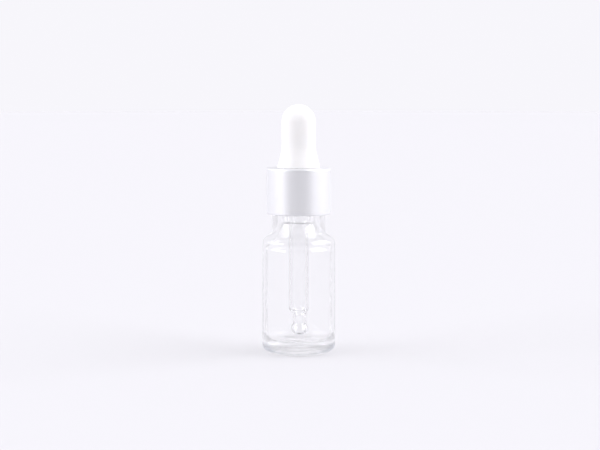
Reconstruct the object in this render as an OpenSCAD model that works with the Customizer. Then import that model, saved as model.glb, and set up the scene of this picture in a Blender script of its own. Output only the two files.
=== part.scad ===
// Dropper bottle: a 10 ml clear glass bottle whose screw collar holds a squeeze bulb and a glass pipette.
// Millimetres. +Z is up, and the origin is the centre of the circle that the bottle stands on.

/* [Bottle] */
// Outside diameter of the bottle's body
body_d = 24.8; // [22:0.2:28]
// Height at which the body's straight wall ends and the shoulder starts
body_top = 37; // [36:0.1:37.4]
// Thickness of the body's wall
body_wall = 1.45; // [1:0.05:2]
// Thickness of the glass at the middle of the floor
floor_t = 4.9; // [4:0.1:5]
// Rise of the domed floor, from its edge to its middle
floor_rise = 1.9; // [1:0.1:2.2]
// Radius of the rounded heel between the wall and the standing ring
heel_r = 2.9; // [2:0.1:3.2]
// Radius of the curve from the wall into the shoulder
shoulder_r = 2.4; // [1.6:0.1:3]
// Slope of the shoulder, from upright
shoulder_a = 55; // [50:1:60]
// Width of the flat ring that the bottle stands on
ring_w = 1.2; // [0.8:0.1:2]
// Rise of the hollow under the floor, inside the standing ring
punt_rise = 0.9; // [0.4:0.1:1]

/* [Neck and finish] */
// Outside diameter of the plain neck below the collar
neck_d = 18; // [17.4:0.1:18.6]
// Height at which the plain neck steps in to the threaded finish
neck_top = 47; // [45.4:0.1:47.4]
// Height of the rim, which is the bottle's full height
rim_z = 59.3; // [58.4:0.1:59.8]
// Root diameter of the threaded finish
finish_d = 15.7; // [15.4:0.1:16]
// Diameter over the crests of the finish's thread
crest_d = 17.7; // [17.3:0.1:17.8]
// Diameter of the straight bore through the neck
bore_d = 8.8; // [8.4:0.1:9.4]
// Height at which the straight bore ends in a small step
bore_end = 44.2; // [43.8:0.1:44.8]
// Inside diameter where the neck's taper ends and the shoulder starts
throat_d = 14; // [13.4:0.1:14.6]
// Height of that change of slope, inside the glass
throat_z = 39; // [38.6:0.1:39.4]
// Slope of the glass inside the shoulder, from upright
flare_a = 50; // [47:1:53]

/* [Thread] */
// Rise of the thread in one turn
pitch = 3.175; // [3:0.005:3.2]
// Turns of thread on the glass
glass_turns = 1.75; // [1.25:0.25:2]
// Turns of thread inside the collar
collar_turns = 1.75; // [1.25:0.25:2]
// Straight facets in one turn
facets = 30; // [24:2:36]

/* [Collar] */
// Outside diameter of the smooth collar
collar_d = 21.5; // [21:0.1:22.5]
// Height of the collar's lower edge above the ground
collar_z = 46.9; // [46:0.1:47.4]
// Height of the collar's top face above the ground
collar_top = 62.3; // [61.8:0.1:63]
// Thickness of the smooth outer shell
shell_t = 0.55; // [0.4:0.05:0.7]
// Radius of the shell's top edge
shell_edge_r = 0.5; // [0.3:0.1:0.8]
// Inside diameter of the threaded cap, over the roots of its thread
cap_bore_d = 18.2; // [18:0.1:18.4]
// Diameter over the crests of the thread inside the cap
cap_crest_d = 16.1; // [15.9:0.1:16.4]
// Diameter of the hole in the top that holds the bulb's waist
waist_hole_d = 12.1; // [11.6:0.1:12.6]

/* [Bulb] */
// Outside diameter of the bulb's straight part
bulb_d = 11.3; // [10.5:0.1:12]
// Height of the bulb's top above the ground
bulb_top = 83.5; // [80:0.5:88]
// Thickness of the bulb's wall
bulb_wall = 1.25; // [1:0.05:1.6]
// Diameter of the flared foot that sits on the collar
foot_d = 14.3; // [13.5:0.1:15]
// Slope of the flare above the foot, from upright
foot_a = 15; // [12:1:22]
// Diameter of the flange that is trapped between the collar and the rim
flange_d = 17; // [16:0.1:17.6]
// Length of the plug that reaches down into the bore
plug_l = 7.3; // [5:0.1:9]
// Diameter of the plug
plug_d = 8.4; // [8:0.1:8.4]

/* [Pipette] */
// Outside diameter of the pipette's tube
tube_d = 6.5; // [6:0.1:7]
// Thickness of the tube's wall
tube_wall = 0.85; // [0.7:0.05:1]
// Height of the tube's open top, inside the bulb
tube_top = 66; // [64:0.5:68]
// Height of the outlet above the ground
outlet_z = 6; // [5.9:0.1:8]
// Diameter of the ball at the tip
ball_d = 5.85; // [5:0.05:6]
// Height of the ball, which is a little flat
ball_h = 4.4; // [4:0.1:5]
// Diameter of the waist above the ball
waist_d = 4.4; // [4:0.1:4.8]
// Diameter of the hole in the outlet
outlet_d = 1.4; // [1:0.1:1.8]

/* [Hidden] */
$fn = 96;

body_r = body_d / 2;
inner_r = body_r - body_wall;
neck_r = neck_d / 2;
finish_r = finish_d / 2;
bore_r = bore_d / 2;
collar_r = collar_d / 2;
cap_r = collar_r - shell_t;
bulb_r = bulb_d / 2;
cavity_r = bulb_r - bulb_wall;
tube_r = tube_d / 2;

// Gap left between pieces that touch but move on their own
touch = 0.03;
// How far a thread is sunk into the wall that carries it
sunk = 0.25;
// The closed collar is drawn down, so its thread sits this far above the middle of the groove
drawn_down = 0.15;

// A circular arc of points about the centre c, from angle a to angle b
function arc(c, r, a, b, n = 8) =
    [for (i = [0 : n]) let (t = a + (b - a) * i / n) c + r * [cos(t), sin(t)]];

// Where an arc of radius r ends, from its start, once it has turned from upright to the slope a
function turned(r, a) = r * [1 - cos(a), sin(a)];

// Outline of the glass, to the right of the axis: up the outside, over the rim and down the inside
function bottle_outline() =
    let (
        // the hollow under the floor is a shallow dome inside the flat ring that the bottle stands on
        ring_in = body_r - heel_r - ring_w,
        punt_r = (ring_in * ring_in + punt_rise * punt_rise) / (2 * punt_rise),
        punt_half = asin(ring_in / punt_r),
        // outside, the shoulder rounds over, slopes straight up, and meets the plain neck in a small fillet
        fillet_r = 0.5,
        slope_w = body_r - neck_r - turned(shoulder_r, shoulder_a)[0] - turned(fillet_r, shoulder_a)[0],
        fillet_z = body_top + turned(shoulder_r + fillet_r, shoulder_a)[1] + slope_w / tan(shoulder_a),
        edge_r = 0.45,
        root_r = 0.3,
        // inside, the bore steps out, tapers to the throat, slopes straight down, and rounds into the body
        step_w = 0.6,
        step_h = 0.4,
        round_r = 2.6,
        inner_w = inner_r - throat_d / 2 - turned(round_r, flare_a)[0],
        round_z = throat_z - inner_w / tan(flare_a) - turned(round_r, flare_a)[1],
        // the floor inside is a dome, which meets the wall in a small fillet
        corner_r = 1.3,
        floor_z = floor_t + punt_rise,
        dome_r = (inner_r * inner_r + floor_rise * floor_rise) / (2 * floor_rise),
        dome_z = floor_z - dome_r,
        corner_z = dome_z + sqrt(pow(dome_r + corner_r, 2) - pow(inner_r - corner_r, 2)),
        lean = atan2(corner_z - dome_z, inner_r - corner_r)
    )
    concat(
        arc([0, punt_rise - punt_r], punt_r, 90, 90 - punt_half),
        arc([body_r - heel_r, heel_r], heel_r, -90, 0),
        arc([body_r - shoulder_r, body_top], shoulder_r, 0, shoulder_a),
        arc([neck_r + fillet_r, fillet_z], fillet_r, 180 + shoulder_a, 180, 4),
        arc([neck_r - edge_r, neck_top - edge_r], edge_r, 0, 90, 5),
        arc([finish_r + root_r, neck_top + root_r], root_r, 270, 180, 4),
        arc([finish_r - edge_r, rim_z - edge_r], edge_r, 0, 90, 5),
        arc([bore_r + edge_r, rim_z - edge_r], edge_r, 90, 180, 5),
        [[bore_r, bore_end], [bore_r + step_w, bore_end - step_h], [throat_d / 2, throat_z]],
        arc([inner_r - round_r, round_z], round_r, flare_a, 0),
        arc([inner_r - corner_r, corner_z], corner_r, 0, lean - 180),
        arc([0, dome_z], dome_r, lean + (90 - lean) / 8, 90, 7)
    );

// How tall a thread stands at a share t of its length: low at both ends, full between them
function fade(t) = let (run = 0.09) min(1, 0.35 + 0.65 * min(t, 1 - t) / run);

// A helical ridge with a trapezium section. It climbs anticlockwise seen from above, so it is right-handed.
// root and crest are radii; the ridge's middle line starts at height z0 and angle a0.
module thread(root, crest, z0, turns, root_w, crest_w, a0 = 0) {
    out = sign(crest - root);
    steps = round(facets * turns);
    ring = [for (i = [0 : steps]) let (
            t = i / steps,
            a = a0 + 360 * turns * t,
            z = z0 + pitch * turns * t,
            tall = fade(t),
            r1 = root - out * sunk,
            r2 = root + (crest - root) * tall,
            // the flanks keep their slope below the root and at the low ends
            slope = (root_w - crest_w) / 2 / abs(crest - root),
            w1 = root_w / 2 + slope * sunk,
            w2 = root_w / 2 - slope * abs(r2 - root)
        ) [[r1, z - w1], [r2, z - w2], [r2, z + w2], [r1, z + w1], a]];
    points = [for (s = ring) for (k = [0 : 3]) [s[k][0] * cos(s[4]), s[k][0] * sin(s[4]), s[k][1]]];
    sides = [for (i = [0 : steps - 1]) for (k = [0 : 3]) let (
            p = 4 * i + k,
            q = 4 * i + (k + 1) % 4
        ) each out > 0
            ? [[p, q, p + 4], [q, q + 4, p + 4]]
            : [[p, p + 4, q], [q, p + 4, q + 4]]];
    last = 4 * steps;
    ends = out > 0
        ? [[0, 2, 1], [0, 3, 2], [last, last + 1, last + 2], [last, last + 2, last + 3]]
        : [[0, 1, 2], [0, 2, 3], [last, last + 2, last + 1], [last, last + 3, last + 2]];
    polyhedron(points, concat(sides, ends), convexity = 6);
}

glass_thread_top = rim_z - 2.2;
glass_thread_z = glass_thread_top - pitch * glass_turns;
cap_thread_z = glass_thread_z - pitch / 2 + drawn_down - 0.6;
// The turn that puts the cap's thread half a pitch below the glass one, whatever height it starts at
cap_thread_a = 360 * (cap_thread_z - (glass_thread_z - pitch / 2 + drawn_down)) / pitch;

module bottle()
    color([0.86, 0.9, 0.92, 0.4]) {
        rotate_extrude() polygon(bottle_outline());
        thread(finish_r, crest_d / 2, glass_thread_z, glass_turns, 1.8, 0.8);
    }

cap_z = collar_z + 0.4;
cap_top = collar_top - shell_t;
cap_plate = 0.6;

module inner_cap()
    color("whitesmoke") {
        difference() {
            translate([0, 0, cap_z]) cylinder(r = cap_r, h = cap_top - cap_z);
            translate([0, 0, cap_z - 1]) cylinder(d = cap_bore_d, h = cap_top - cap_plate - cap_z + 1);
            cylinder(d = waist_hole_d, h = collar_top + 1);
        }
        thread(cap_bore_d / 2, cap_crest_d / 2, cap_thread_z, collar_turns, 1.6, 0.8, cap_thread_a);
    }

module collar_shell()
    color("white")
        rotate_extrude()
            polygon(concat(
                [[cap_r, collar_z], [collar_r, collar_z]],
                arc([collar_r - shell_edge_r, collar_top - shell_edge_r], shell_edge_r, 0, 90),
                [[waist_hole_d / 2, collar_top], [waist_hole_d / 2, cap_top], [cap_r, cap_top]]
            ));

// The bulb's outline: down the outside from the dome to the plug, and up the inside
function bulb_outline() =
    let (
        dome_z = bulb_top - bulb_r,
        foot_z = collar_top + touch,
        foot_r = foot_d / 2,
        foot_edge = 0.3,
        // the straight wall curves out into the flare, which then slopes straight down to the foot
        hollow_r = 9,
        slope_w = foot_r - bulb_r - turned(hollow_r, foot_a)[0],
        hollow_z = foot_z + foot_edge + slope_w / tan(foot_a) + turned(hollow_r, foot_a)[1],
        waist_r = waist_hole_d / 2 - touch,
        flange_top = cap_top - cap_plate - touch,
        flange_z = rim_z + touch,
        plug_z = rim_z - plug_l,
        socket_r = tube_r + touch,
        socket_top = collar_top + 1.2,
        lead = 0.6
    )
    concat(
        arc([0, dome_z], bulb_r, 90, 0, 16),
        arc([bulb_r + hollow_r, hollow_z], hollow_r, 180, 180 + foot_a, 6),
        [[foot_r, foot_z + foot_edge], [foot_r, foot_z]],
        [[waist_r, foot_z], [waist_r, flange_top], [flange_d / 2, flange_top], [flange_d / 2, flange_z]],
        [[plug_d / 2, flange_z], [plug_d / 2, plug_z + lead], [plug_d / 2 - lead / 2, plug_z]],
        [[socket_r, plug_z], [socket_r, socket_top], [cavity_r, socket_top + 1.4]],
        arc([0, dome_z], cavity_r, 0, 90, 16)
    );

module bulb()
    color("white") rotate_extrude() polygon(bulb_outline());

// An arc of an upright ellipse about the centre c, with half-widths w and h
function oval(c, w, h, a, b, n = 10) =
    [for (i = [0 : n]) let (t = a + (b - a) * i / n) c + [w * cos(t), h * sin(t)]];

// The tube's outline: the outside from the top down to the outlet, and the inside back up
function pipette_outline() =
    let (
        in_r = tube_r - tube_wall,
        edge_r = 0.35,
        waist_r = waist_d / 2,
        ball_z = outlet_z + 1.97,
        ball_r = ball_d / 2,
        lip_r = 1.3,
        // the ball runs from the outlet's lip up to the waist
        high = acos(waist_r / ball_r),
        low = -acos(lip_r / ball_r),
        // the tube draws in over a rounded shoulder, and meets the waist in a fillet
        draw_w = tube_r - waist_r,
        draw_z = outlet_z + 8.5,
        fillet_h = 0.8,
        // the hollow inside keeps the same thickness of glass as the tube
        hole_r = outlet_d / 2,
        ball_in = ball_r - tube_wall,
        ball_in_h = ball_h / 2 - 0.5,
        waist_in = waist_r - tube_wall
    )
    concat(
        arc([tube_r - edge_r, tube_top - edge_r], edge_r, 90, 0, 4),
        oval([tube_r - draw_w * 0.6, draw_z], draw_w * 0.6, 0.9, 0, -90, 5),
        oval([waist_r + draw_w * 0.4, draw_z - 0.9 - fillet_h], draw_w * 0.4, fillet_h, 90, 180, 4),
        oval([0, ball_z], ball_r, ball_h / 2, high, low),
        [[hole_r, outlet_z]],
        oval([0, ball_z], ball_in, ball_in_h, -acos(hole_r / ball_in), acos(waist_in / ball_in)),
        [[waist_in, draw_z - 1.6], [in_r, draw_z + 0.5], [in_r, tube_top]]
    );

module pipette()
    color([0.86, 0.9, 0.92, 0.4]) rotate_extrude() polygon(pipette_outline());

bottle();
inner_cap();
collar_shell();
bulb();
pipette();
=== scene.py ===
# Dropper bottle: the visual model and its studio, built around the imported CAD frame.
from math import ceil, radians, tan

import bmesh
import bpy
import numpy as np
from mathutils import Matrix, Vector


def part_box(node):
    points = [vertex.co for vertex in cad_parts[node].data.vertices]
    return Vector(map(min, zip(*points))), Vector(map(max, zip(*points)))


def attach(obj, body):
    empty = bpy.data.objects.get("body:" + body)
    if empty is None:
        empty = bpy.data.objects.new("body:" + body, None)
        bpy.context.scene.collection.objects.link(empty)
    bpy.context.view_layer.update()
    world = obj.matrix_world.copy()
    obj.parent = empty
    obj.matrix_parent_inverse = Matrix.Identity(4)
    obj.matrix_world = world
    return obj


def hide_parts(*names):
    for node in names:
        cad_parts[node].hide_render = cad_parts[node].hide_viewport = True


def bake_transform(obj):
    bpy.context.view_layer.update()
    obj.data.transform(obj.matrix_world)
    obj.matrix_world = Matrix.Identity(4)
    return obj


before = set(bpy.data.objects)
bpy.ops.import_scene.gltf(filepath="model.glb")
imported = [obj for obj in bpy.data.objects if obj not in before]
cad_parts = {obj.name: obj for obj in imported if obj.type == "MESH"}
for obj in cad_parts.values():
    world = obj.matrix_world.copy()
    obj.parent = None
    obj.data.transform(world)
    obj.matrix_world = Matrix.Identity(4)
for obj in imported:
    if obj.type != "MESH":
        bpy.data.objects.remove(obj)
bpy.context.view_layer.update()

MM = 0.001


# ---------------------------------------------------------------- outlines
# An outline is a list of (radius, height) points in millimetres. It climbs the
# outside of a piece, so that the faces turned from it point outwards.

def rounded(corners, step=6.0):
    """The outline through corners (r, z, fillet radius), each corner rounded to its fillet."""
    out = []
    for i, (r, z, fillet) in enumerate(corners):
        here = np.array((r, z), float)
        if not fillet:
            out.append(here)
            continue
        before = np.array(corners[i - 1][:2], float) - here
        after = np.array(corners[(i + 1) % len(corners)][:2], float) - here
        u, v = before / np.linalg.norm(before), after / np.linalg.norm(after)
        between = np.arccos(np.clip(u @ v, -1, 1))
        reach = fillet / tan(between / 2)
        middle = (u + v) / np.linalg.norm(u + v)
        centre = here + middle * np.hypot(fillet, reach)
        a, b = here + u * reach - centre, here + v * reach - centre
        start = np.arctan2(a[1], a[0])
        turn = np.arctan2(a[0] * b[1] - a[1] * b[0], a @ b)
        n = max(3, ceil(abs(np.degrees(turn)) / step))
        for t in np.linspace(0, turn, n + 1):
            out.append(centre + fillet * np.array((np.cos(start + t), np.sin(start + t))))
    return out


def fine(outline, longest, loop=False):
    """The outline with its long stretches cut to at most longest, and held close to their ends."""
    points = [np.array(p, float) for p in outline]
    out = []
    for p, q in zip(points, points[1:] + (points[:1] if loop else [])):
        out.append(p)
        length = np.linalg.norm(q - p)
        if length < 0.5:
            continue
        hold = 0.12 / length
        n = max(1, ceil(length / longest))
        stops = [hold] + [t for t in np.arange(1, n) / n if hold * 1.5 < t < 1 - hold * 1.5]
        out += [p + (q - p) * t for t in stops + [1 - hold]]
    return out if loop else out + [points[-1]]


def lathe(name, outline, sides, loop=False, shape=None):
    """Turns an outline about the axis. shape(r, z, a) may move the points of each ring."""
    r, z = np.array(outline).T
    a = np.arange(sides) * 2 * np.pi / sides
    rr, zz, aa = (np.broadcast_to(x, (len(r), sides)).copy() for x in (r[:, None], z[:, None], a))
    if shape:
        rr, zz = shape(rr, zz, aa)
    places = np.stack([rr * np.cos(aa), rr * np.sin(aa), zz], -1) * MM
    bm = bmesh.new()
    rings = []
    for k in range(len(r)):
        if r[k] < 1e-6:
            rings.append([bm.verts.new(places[k].mean(0))] * sides)
        else:
            rings.append([bm.verts.new(p) for p in places[k]])
    pairs = list(zip(rings, rings[1:])) + ([(rings[-1], rings[0])] if loop else [])
    for low, high in pairs:
        for j in range(sides):
            n = (j + 1) % sides
            corners = []
            for v in (low[j], low[n], high[n], high[j]):
                if v not in corners:
                    corners.append(v)
            if len(corners) > 2:
                bm.faces.new(corners).smooth = True
    mesh = bpy.data.meshes.new(name)
    bm.to_mesh(mesh)
    bm.free()
    piece = bpy.data.objects.new(name, mesh)
    bpy.context.collection.objects.link(piece)
    return piece


def ridge(z, a, z0, turns, root_w, crest_w, a0=0.0):
    """How tall a helical thread stands at height z and angle a, as a share of its full height."""
    tall = np.zeros_like(z)
    a = (a - a0) % (2 * np.pi)
    for k in range(ceil(turns) + 1):
        t = (a + 2 * np.pi * k) / (2 * np.pi * turns)
        off = np.abs(z - z0 - PITCH * turns * t)
        flank = np.clip((root_w / 2 - off) / (root_w - crest_w) * 2, 0, 1)
        ends = np.clip(np.minimum(t, 1 - t) / 0.09, 0, 1)
        tall = np.maximum(tall, flank * flank * (3 - 2 * flank) * ends * ends * (3 - 2 * ends))
    return tall


def ripple(z, a, seed):
    """A slow, uneven wave over a moulded or drawn surface, from -1 to 1."""
    return (
        0.42 * np.sin(2 * a + 0.21 * z + seed)
        + 0.28 * np.sin(3 * a - 0.37 * z + 2.1 * seed)
        + 0.18 * np.sin(5 * a + 0.73 * z + 3.7 * seed)
        + 0.12 * np.sin(7 * a - 1.13 * z + 5.3 * seed)
    )


# ---------------------------------------------------------------- sizes, from the frame
def reach(node):
    """(radius, lowest, highest) of a CAD node, in millimetres."""
    low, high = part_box(node)
    return high[0] / MM, low[2] / MM, high[2] / MM


body_r, _, rim = reach("bottle")
collar_r, collar_z, collar_top = reach("collar_shell")
cap_r, cap_z, cap_top = reach("inner_cap")
flange_r, plug_z, bulb_top = reach("bulb")
tube_r, outlet, tube_top = reach("pipette")

PITCH = 3.175
thread_z = rim - 2.2 - PITCH * 1.75
cap_thread_z = thread_z - PITCH / 2 + 0.15 - 0.6


# ---------------------------------------------------------------- pieces
def make_bottle():
    wall, neck_r, finish_r, bore_r = 1.45, 9.0, 7.85, 4.4
    neck_top, throat_z, floor_edge, crown_z = 47.0, 39.0, 3.9, 5.8
    inner_r = body_r - wall
    corners = [
        (0, 0.9, 0), (5.0, 0.72, 8), (8.3, 0.02, 0.6), (body_r, 0, 2.9),
        (body_r, 38.25, 2.4), (neck_r, 40.63, 0.5), (neck_r, neck_top, 0.45), (finish_r, neck_top, 0.3),
        (finish_r, rim, 0.45), (bore_r, rim, 0.45), (bore_r, 44.25, 0.2), (5.0, 43.85, 0.3),
        (7.0, throat_z, 2.0), (inner_r, 35.7, 2.6), (inner_r, floor_edge, 1.3),
    ]
    # the floor inside is a shallow dome
    corners += [(r, crown_z - r * r / 62, 0) for r in (9.0, 7.5, 6.0, 4.5, 3.0, 1.5, 0)]
    outline = fine(rounded(corners), 0.7)

    def shape(r, z, a):
        on_finish = (np.abs(r - finish_r) < 0.01) & (z > neck_top + 0.2)
        r = r + on_finish * ridge(z, a, thread_z, 1.75, 1.8, 0.8)
        # the inner face, short of the rim, is what lies within the neck and the finish
        inside = (z > floor_edge) & (r < inner_r + 0.01) & (z < rim - 1.3)
        inside &= ~((z > throat_z) & (r > neck_r - 0.1)) & ~((z > neck_top - 2) & (r > finish_r - 0.6))
        r = r + inside * 0.022 * ripple(z, a, 1.3) * np.clip(r / 3, 0, 1)
        body = (r > body_r - 0.02) & ~inside
        r = r - body * 0.012 * (1 + ripple(z, a, 4.1))
        return r, z

    return lathe("bottle_clear_glass", outline, 240, shape=shape)


def make_pipette():
    in_r, waist, ball_r, ball_z = tube_r - 0.85, 2.2, 2.925, outlet + 1.97
    shoulder = outlet + 8.2
    t = np.radians(np.linspace(-63.6, 41.2, 22))
    ball = [(ball_r * np.cos(x), ball_z + 2.2 * np.sin(x)) for x in t]
    t = np.radians(np.linspace(49.4, -70.3, 22))
    ball_in = [((ball_r - 0.85) * np.cos(x), ball_z + 1.7 * np.sin(x)) for x in t]
    up = rounded([
        (waist, ball[-1][1] + 0.4, 0), (waist, shoulder - 1.3, 0.9), (tube_r, shoulder + 0.1, 0.9),
        (tube_r, tube_top, 0.38), (in_r, tube_top, 0.38), (in_r, shoulder + 0.45, 1.2),
        (waist - 0.85, shoulder - 0.95, 1.0), (waist - 0.85, ball_in[0][1] + 0.3, 0),
    ])
    lip = rounded([(0.7, outlet + 0.5, 0), (0.7, outlet, 0.15), (1.3, outlet, 0.2), ball[1] + (0,)])
    outline = fine(lip[1:-1] + ball[1:] + up + ball_in[:-1], 1.5, loop=True)

    def shape(r, z, a):
        return r - 0.012 * (1 + ripple(0.6 * z, a, 2.6)), z

    piece = lathe("pipette_drawn_glass", outline, 128, loop=True, shape=shape)
    # the drawn tip sits a little off the tube's axis
    aside = 0.3 * MM
    for v in piece.data.vertices:
        t = min(1.0, max(0.0, (shoulder + 1.5 - v.co.z / MM) / 4.0))
        v.co.x += aside * t * t * (3 - 2 * t)
    return piece


def make_bulb():
    foot_z, foot_r, bulb_r = collar_top + 0.03, 7.15, 5.65
    waist_r, flange_top, flange_z = 6.02, cap_top - 0.63, rim + 0.03
    socket_r, plug_r, inner_r = tube_r + 0.03, 4.2, 4.4
    t = np.radians(np.linspace(0, 90, 25))
    dome = [(bulb_r * np.cos(x), bulb_top - bulb_r + bulb_r * np.sin(x)) for x in t]
    hollow = [(inner_r * np.cos(x), bulb_top - bulb_r + inner_r * np.sin(x)) for x in t[::-1]]
    outside = rounded([
        (socket_r, plug_z, 0), (plug_r - 0.3, plug_z, 0.12), (plug_r, plug_z + 0.6, 0.4),
        (plug_r, flange_z, 0.1), (flange_r, flange_z, 0.2), (flange_r, flange_top, 0.2),
        (waist_r, flange_top, 0.1), (waist_r, foot_z, 0.1), (foot_r, foot_z, 0.12),
        (foot_r, foot_z + 0.3, 0.15), (bulb_r, foot_z + 5.9, 14.0), dome[0] + (0,),
    ])
    inside = rounded([
        hollow[-1] + (0,), (inner_r, collar_top + 2.6, 0.8), (socket_r, collar_top + 1.2, 0.4),
        (socket_r, plug_z, 0),
    ])
    outline = fine(outside + dome[1:] + hollow + inside[1:-1], 0.6, loop=True)
    return lathe("bulb_soft_silicone", outline, 160, loop=True)


def make_shell():
    outline = rounded([
        (cap_r + 0.01, collar_z, 0.1), (collar_r, collar_z, 0.22), (collar_r, collar_top, 0.55),
        (6.05, collar_top, 0.12), (6.05, cap_top + 0.01, 0.1), (cap_r + 0.01, cap_top + 0.01, 0.1),
    ])
    return lathe("collar_satin_shell", fine(outline, 1.5, loop=True), 192, loop=True)


def make_cap():
    root_r, crest_h = 9.1, 1.05
    outline = rounded([
        (root_r, cap_z, 0.15), (cap_r - 0.02, cap_z, 0.15), (cap_r - 0.02, cap_top - 0.02, 0.2),
        (6.05, cap_top - 0.02, 0.1), (6.05, cap_top - 0.6, 0.1), (root_r, cap_top - 0.6, 0.3),
    ])
    outline = fine(outline, 0.2, loop=True)

    def shape(r, z, a):
        wall = np.abs(r - root_r) < 0.01
        return r - wall * crest_h * ridge(z, a, cap_thread_z, 1.75, 1.6, 0.8, radians(-68.03)), z

    return lathe("cap_threaded_insert", outline, 180, loop=True, shape=shape)


# ---------------------------------------------------------------- materials
PALE = (0.965, 0.955, 1.0, 1)  # the studio's tone
GLASS_GREY = (0.30, 0.34, 0.37, 1)
WALL_INDEX, THICK_INDEX = 1.04, 1.26


def shader(name, **inputs):
    """A new material, its node tree and its Principled shader with those inputs set."""
    material = bpy.data.materials.new(name)
    material.use_nodes = True
    tree = material.node_tree
    bsdf = tree.nodes["Principled BSDF"]
    for key, value in inputs.items():
        bsdf.inputs[key.replace("_", " ")].default_value = value
    return material, tree, bsdf


def node(tree, kind, links=(), **settings):
    """A new node, with settings on its sockets or itself, and links {socket: output}."""
    made = tree.nodes.new(kind)
    for key, value in settings.items():
        if hasattr(made, key):
            setattr(made, key, value)
        else:
            made.inputs[key.replace("_", " ")].default_value = value
    for socket, source in dict(links).items():
        tree.links.new(source, made.inputs[socket])
    return made


def noise(tree, scale, detail=4.0, rough=0.5):
    where = node(tree, "ShaderNodeTexCoord")
    return node(tree, "ShaderNodeTexNoise", {"Vector": where.outputs["Object"]},
                Scale=scale, Detail=detail, Roughness=rough)


def glass(name, bend, share, coat, grey):
    """Clear glass: a share of it bends light by the index bend, under a coat that mirrors more."""
    material, tree, bsdf = shader(name, Base_Color=(1, 1, 1, 1), Roughness=0.0, IOR=bend,
                                  Transmission_Weight=1.0, Coat_Weight=coat, Coat_IOR=1.8,
                                  Coat_Roughness=0.0, Alpha=share)
    soak = node(tree, "ShaderNodeVolumeAbsorption", Color=GLASS_GREY, Density=grey)
    tree.links.new(soak.outputs["Volume"], tree.nodes["Material Output"].inputs["Volume"])
    waves = noise(tree, 90.0, 1.0)
    bump = node(tree, "ShaderNodeBump", {"Height": waves.outputs["Fac"]}, Strength=0.03, Distance=0.0004)
    tree.links.new(bump.outputs["Normal"], bsdf.inputs["Normal"])
    return material, tree, bsdf


def height(tree):
    where = node(tree, "ShaderNodeTexCoord")
    return node(tree, "ShaderNodeSeparateXYZ", {"Vector": where.outputs["Object"]}).outputs["Z"]


def ramp(tree, value, start, end, low=0.0, high=1.0):
    """Smoothly from low, where value is start, to high, where it is end."""
    return node(tree, "ShaderNodeMapRange", {"Value": value}, interpolation_type="SMOOTHSTEP",
                From_Min=start, From_Max=end, To_Min=low, To_Max=high).outputs["Result"]


def paint_edge_shade(tree, bsdf, z_no_shade, z_full_shade, turn, colour, rim=(-1.0, 0.0)):
    """Paints shade into the glass colour below a height, out at its rim, darkest where the surface turns
    away from view.
    """
    facing = node(tree, "ShaderNodeLayerWeight", Blend=0.5).outputs["Facing"]
    level = node(tree, "ShaderNodeVectorMath", operation="MULTIPLY")
    tree.links.new(node(tree, "ShaderNodeTexCoord").outputs["Object"], level.inputs[0])
    level.inputs[1].default_value = (1, 1, 0)
    radius = node(tree, "ShaderNodeVectorMath", {0: level.outputs[0]}, operation="LENGTH").outputs["Value"]
    z = height(tree)
    edge = ramp(tree, facing, *turn)
    off_the_foot = ramp(tree, z, 0.0001, 0.0015)
    for other in (ramp(tree, z, z_no_shade, z_full_shade), off_the_foot, ramp(tree, radius, *rim)):
        edge = node(tree, "ShaderNodeMath", {0: edge, 1: other}, operation="MULTIPLY").outputs[0]
    # painted shade: the base colour goes from white towards the dark colour by this mask
    painted_shade_mix = node(tree, "ShaderNodeMix", {"Factor": edge}, data_type="RGBA")
    painted_shade_mix.inputs[6].default_value, painted_shade_mix.inputs[7].default_value = (1, 1, 1, 1), colour
    tree.links.new(painted_shade_mix.outputs[2], bsdf.inputs["Base Color"])


def bottle_glass():
    """The bottle's thin, even wall hardly bends the light, but its thick base and neck do."""
    material, tree, bsdf = glass("clear_flint_glass", bend=WALL_INDEX, share=0.5, coat=1.0, grey=5.0)
    z = height(tree)
    # the two halves add up to WALL_INDEX in the wall, and to THICK_INDEX past either end of it
    thin, thick = WALL_INDEX / 2, THICK_INDEX - WALL_INDEX / 2
    base, neck = ramp(tree, z, 0.0063, 0.0043, thin, thick), ramp(tree, z, 0.040, 0.043, thin, thick)
    index = node(tree, "ShaderNodeMath", {0: base, 1: neck}, operation="ADD").outputs[0]
    tree.links.new(index, bsdf.inputs["IOR"])
    tree.links.new(ramp(tree, z, 0.008, 0.030, 0.4, 1.0), bsdf.inputs["Coat Weight"])
    # painted shade: the heel of the base is darkened blue-black towards its silhouette
    paint_edge_shade(tree, bsdf, z_no_shade=0.0044, z_full_shade=0.0030, turn=(0.2, 0.55),
               colour=(0.16, 0.19, 0.25, 1), rim=(0.0085, 0.0105))
    return material


def pipette_glass():
    material, tree, bsdf = glass("drawn_tube_glass", bend=1.5, share=1.0, coat=0.0, grey=28.0)
    # painted shade: the ball tip's glass is darkened towards its outline
    paint_edge_shade(tree, bsdf, z_no_shade=0.0095, z_full_shade=0.0078, turn=(0.5, 0.9), colour=(0.35, 0.38, 0.42, 1))
    return material


def satin(name, colour, rough, grain, shine=0.5, index=1.5):
    """A smooth moulding with a faint grain: its material and its Principled shader."""
    material, tree, bsdf = shader(name, Base_Color=colour, IOR=index, Specular_IOR_Level=shine)
    cloud = noise(tree, 260.0, 3.0)
    spread = node(tree, "ShaderNodeMapRange", {"Value": cloud.outputs["Fac"]},
                  To_Min=rough - 0.05, To_Max=rough + 0.05)
    tree.links.new(spread.outputs["Result"], bsdf.inputs["Roughness"])
    pits = noise(tree, 5200.0, 2.0)
    bump = node(tree, "ShaderNodeBump", {"Height": pits.outputs["Fac"]}, Strength=grain, Distance=0.00005)
    tree.links.new(bump.outputs["Normal"], bsdf.inputs["Normal"])
    return material, bsdf


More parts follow.
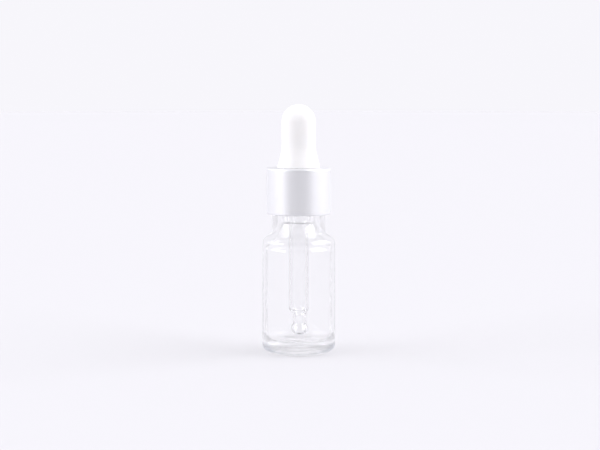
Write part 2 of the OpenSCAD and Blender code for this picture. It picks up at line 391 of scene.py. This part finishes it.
def silicone(name, colour):
    """Soft, slightly translucent rubber, with a faint painted glow."""
    material, bsdf = satin(name, colour, 0.55, 0.25, 0.4)
    bsdf.inputs["Subsurface Weight"].default_value = 0.5
    bsdf.inputs["Subsurface Radius"].default_value = (1.0, 0.9, 0.85)
    bsdf.inputs["Subsurface Scale"].default_value = 0.003
    # painted light: a faint glow over the whole bulb brightens its shading
    bsdf.inputs["Emission Color"].default_value = (1.0, 0.985, 0.98, 1)
    bsdf.inputs["Emission Strength"].default_value = 0.15
    return material


# ---------------------------------------------------------------- assembly
bottle, pipette, bulb, shell, cap = make_bottle(), make_pipette(), make_bulb(), make_shell(), make_cap()

collar_plastic, _ = satin("white_satin_plastic", (0.507, 0.509, 0.528, 1), 0.38, 0.2, shine=1.25, index=2.3)
cap_plastic, _ = satin("plain_moulded_plastic", (0.76, 0.77, 0.79, 1), 0.45, 0.3)
bulb_silicone = silicone("white_silicone_painted_glow", (0.615, 0.61, 0.607, 1))

for piece, name, body, slot, material in (
    (bottle, "bottle", "bottle", "bottle_glass", bottle_glass()),
    (pipette, "pipette", "dropper", "pipette_glass", pipette_glass()),
    (shell, "collar_shell", "collar", "collar_plastic", collar_plastic),
    (cap, "inner_cap", "collar", "cap_plastic", cap_plastic),
    (bulb, "bulb", None, "bulb_silicone", bulb_silicone),
):
    piece.data.materials.append(material)
    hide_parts(name)
    if body:
        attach(piece, body)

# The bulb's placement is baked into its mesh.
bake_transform(bulb)


# ---------------------------------------------------------------- studio
def stage_floor():
    bm = bmesh.new()
    bmesh.ops.create_circle(bm, cap_ends=True, segments=96, radius=4.0)
    mesh = bpy.data.meshes.new("studio_floor")
    bm.to_mesh(mesh)
    bm.free()
    floor = bpy.data.objects.new("studio_floor", mesh)
    floor.location.z = -0.00002
    bpy.context.collection.objects.link(floor)
    # the floor gives off part of its own tone, so that it stays as pale far off as close by
    material = shader("pale_floor", Base_Color=(0.30, 0.298, 0.305, 1), Roughness=0.7,
                      Specular_IOR_Level=0.0, Emission_Color=PALE, Emission_Strength=0.412)[0]
    floor.data.materials.append(material)


def window(tree, across, along, far, span):
    """1 inside a softly edged patch of sky where across / far and along / far lie within span, else 0."""
    inside = None
    for part, (low, high) in zip((across, along), span):
        ratio = node(tree, "ShaderNodeMath", {0: part, 1: far}, operation="DIVIDE").outputs[0]
        for a, b in ((low - 0.05, low + 0.05), (high + 0.05, high - 0.05)):
            edge = node(tree, "ShaderNodeMapRange", {"Value": ratio}, interpolation_type="SMOOTHSTEP",
                        From_Min=a, From_Max=b).outputs["Result"]
            inside = edge if inside is None else node(
                tree, "ShaderNodeMath", {0: inside, 1: edge}, operation="MULTIPLY").outputs[0]
    ahead = node(tree, "ShaderNodeMath", {0: far}, operation="GREATER_THAN").outputs[0]
    ahead.node.inputs[1].default_value = 0.05
    return node(tree, "ShaderNodeMath", {0: inside, 1: ahead}, operation="MULTIPLY").outputs[0]


def sky():
    """Pale light from all round, dimmer in front of the object, with soft boxes at its sides and above."""
    world = bpy.data.worlds.new("studio_air")
    world.use_nodes = True
    tree = world.node_tree
    back = tree.nodes["Background"]
    way = node(tree, "ShaderNodeTexCoord")
    x, y, z = node(tree, "ShaderNodeSeparateXYZ", {"Vector": way.outputs["Generated"]}).outputs
    left = node(tree, "ShaderNodeMath", {0: x}, operation="MULTIPLY").outputs[0]
    left.node.inputs[1].default_value = -1.0
    total = node(tree, "ShaderNodeMapRange", {"Value": y}, interpolation_type="SMOOTHSTEP",
                 From_Min=-1.0, From_Max=-0.1, To_Min=0.37, To_Max=0.967).outputs["Result"]
    # each box: its strength, the two directions that it spans, the one that it lies in, and its spans
    for strength, across, along, far, span in (
        (4.4, y, z, x, ((-0.88, 0.6), (0.15, 1.6))),
        (8.5, y, z, left, ((-0.88, -0.05), (0.18, 0.65))),
        (2.2, y, z, left, ((-0.1, 0.6), (0.15, 1.6))),
        (0.2, x, y, z, ((-0.6, 0.6), (-0.2, 0.8))),
    ):
        patch = window(tree, across, along, far, span)
        lit = node(tree, "ShaderNodeMath", {0: patch}, operation="MULTIPLY").outputs[0]
        lit.node.inputs[1].default_value = strength
        total = node(tree, "ShaderNodeMath", {0: total, 1: lit}, operation="ADD").outputs[0]
    tree.links.new(total, back.inputs["Strength"])
    back.inputs["Color"].default_value = PALE
    bpy.context.scene.world = world


stage_floor()
sky()

camera = bpy.data.objects.new("camera", bpy.data.cameras.new("camera"))
camera.data.lens, camera.data.sensor_width = 94.8, 36.0
camera.data.clip_end = 20.0
# just above the bulb's top, half a metre in front, and looking slightly down
camera.location = (0.00045, -0.53, 0.092)
camera.rotation_euler = (radians(84.72), 0.0, 0.0)
bpy.context.collection.objects.link(camera)
bpy.context.scene.camera = camera
bpy.context.scene.view_settings.view_transform = "Standard"
bpy.context.scene.cycles.max_bounces = 24
bpy.context.scene.cycles.transmission_bounces = 24
